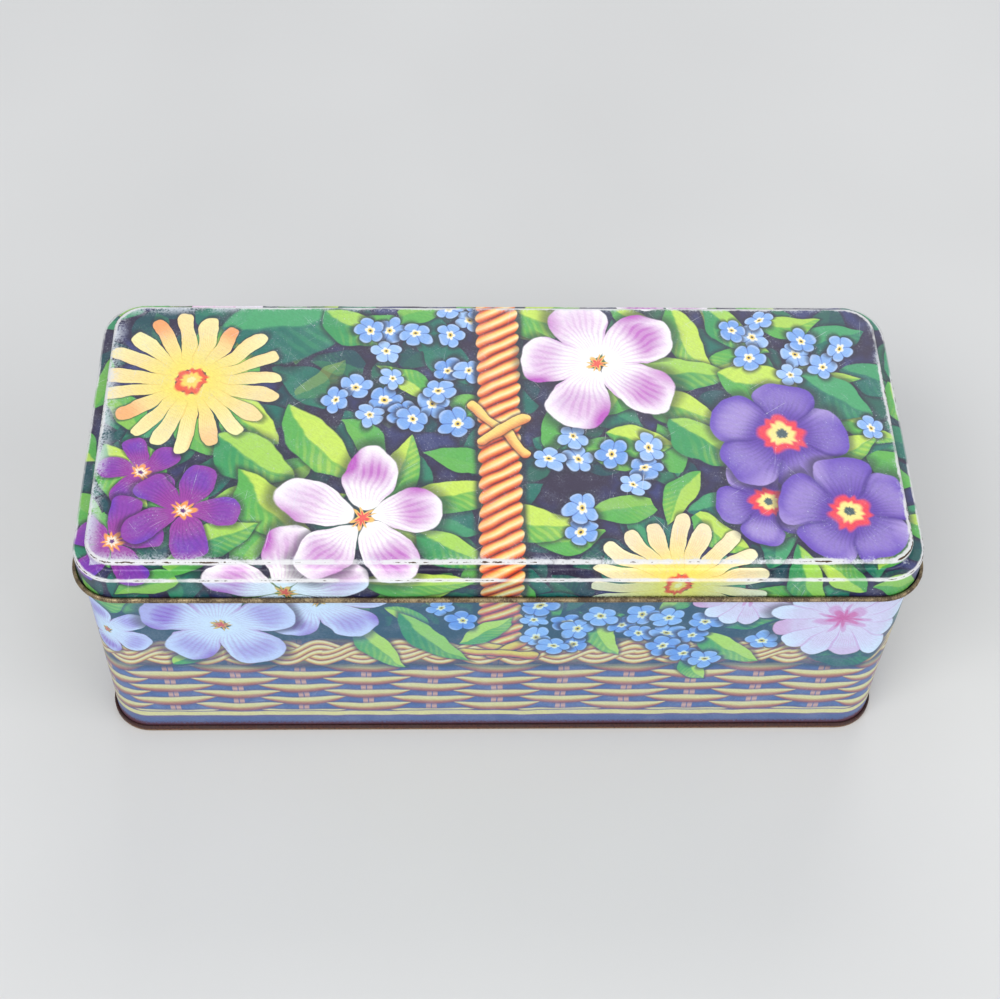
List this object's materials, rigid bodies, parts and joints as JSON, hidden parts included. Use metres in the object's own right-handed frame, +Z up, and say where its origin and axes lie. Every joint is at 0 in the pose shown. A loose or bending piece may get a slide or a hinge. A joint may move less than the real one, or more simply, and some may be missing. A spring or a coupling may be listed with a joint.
{
  "type": "slip lid tin",
  "caption": "Long rectangular printed tin with rounded corners, a double-seamed base and a stepped slip lid that lifts off.",
  "frame": {"origin": "middle of the tin, on the surface it stands on", "axes": "+Z up, +X along the tin's length, +Y towards its back, where the body's lock seam is"},
  "size_m": [0.2834, 0.1234, 0.1025],
  "materials": {
    "body_print": "satin lithographed tinplate, gold lacquer inside",
    "base_plate": "dull lacquered tinplate, rusted at the seam",
    "lid_print": "satin lithographed tinplate, gold lacquer inside"
  },
  "bodies": {
    "tin": {"body_wall": "body_print", "base_panel": "base_plate"},
    "lid": {"lid": "lid_print"}
  },
  "joints": [
    {"name": "lid_lift", "type": "slide", "parent": "tin", "child": "lid", "axis": [0, 0, 1], "range_m": [0, 0.12]}
  ]
}
